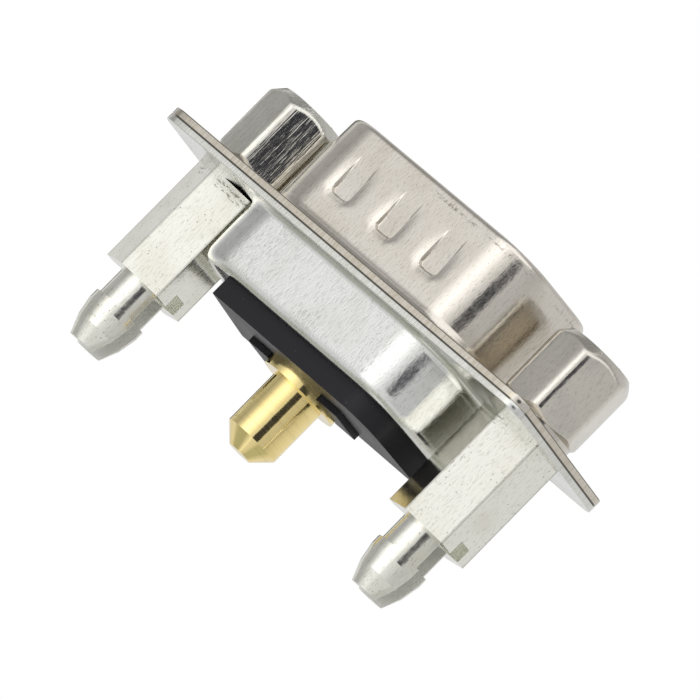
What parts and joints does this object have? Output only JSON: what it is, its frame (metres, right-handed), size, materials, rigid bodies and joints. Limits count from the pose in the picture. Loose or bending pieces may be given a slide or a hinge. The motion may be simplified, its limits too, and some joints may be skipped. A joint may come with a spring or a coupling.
{
  "type": "d-sub connector",
  "caption": "D-sub plug connector with a drawn D-shaped shell, one heavy gold-plated power contact, hexagonal screwlocks in front and split board-lock standoffs behind.",
  "frame": {"origin": "on the contact's axis, midway between the two split board-lock pins, in the plane of the standoffs' rear faces, which is the top face of the board", "axes": "+Z is the mating direction, away from the board; +X runs along the flange; -Y is the narrow side of the D"},
  "size_m": [0.0308, 0.0126, 0.0191],
  "materials": {
    "front_shell": "satin",
    "rear_shell": "satin",
    "front_moulding": "satin",
    "rear_moulding": "matte",
    "gold_plating": "polished",
    "spring_bronze": "satin",
    "bright_plating": "polished",
    "nickel_plating": "satin",
    "washer_plating": "satin"
  },
  "bodies": {
    "root": {"front_shell": "front_shell", "rear_shell": "rear_shell", "front_insulator": "front_moulding", "rear_insulator": "rear_moulding", "power_contact": "gold_plating", "retention_clip": "spring_bronze", "standoff_left": "bright_plating", "standoff_right": "bright_plating", "screwlock_left": "nickel_plating", "screwlock_right": "nickel_plating", "lock_washer_left": "washer_plating", "lock_washer_right": "washer_plating"}
  },
  "joints": []
}
